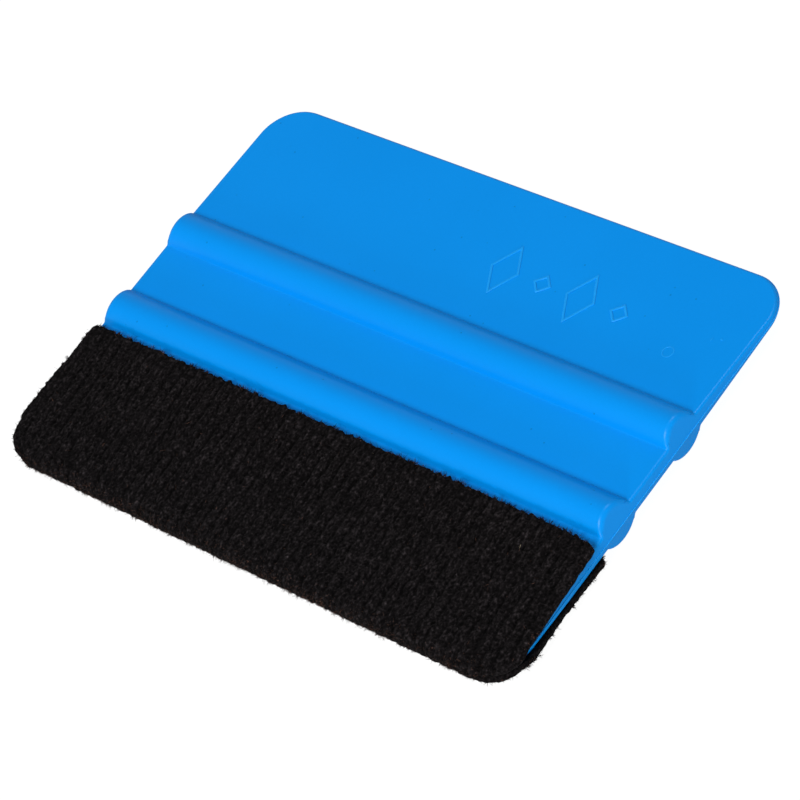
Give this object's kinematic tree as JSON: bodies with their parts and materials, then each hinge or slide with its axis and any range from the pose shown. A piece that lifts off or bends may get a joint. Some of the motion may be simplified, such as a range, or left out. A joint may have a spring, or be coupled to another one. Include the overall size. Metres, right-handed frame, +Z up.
{
  "type": "squeegee applicator",
  "caption": "Flat hand squeegee applicator: a moulded blade with rounded grip ribs on both faces and a knitted felt strip folded over one long edge, for pressing film onto a surface.",
  "frame": {"origin": "under the middle of the part, on the surface that the two lower ribs rest on", "axes": "+X along the ribs, +Y from the felted edge towards the bare edge, +Z up, square to the blade"},
  "size_m": [0.1, 0.0706, 0.0072],
  "materials": {
    "blade_plastic": "satin moulded polypropylene, bright blue",
    "adhesive": "clear tacky acrylic film",
    "felt_knit": "black knitted loop felt, matt and slightly fuzzy"
  },
  "bodies": {
    "root": {"blade": "blade_plastic", "adhesive_film": "adhesive", "felt": "felt_knit"}
  },
  "joints": []
}
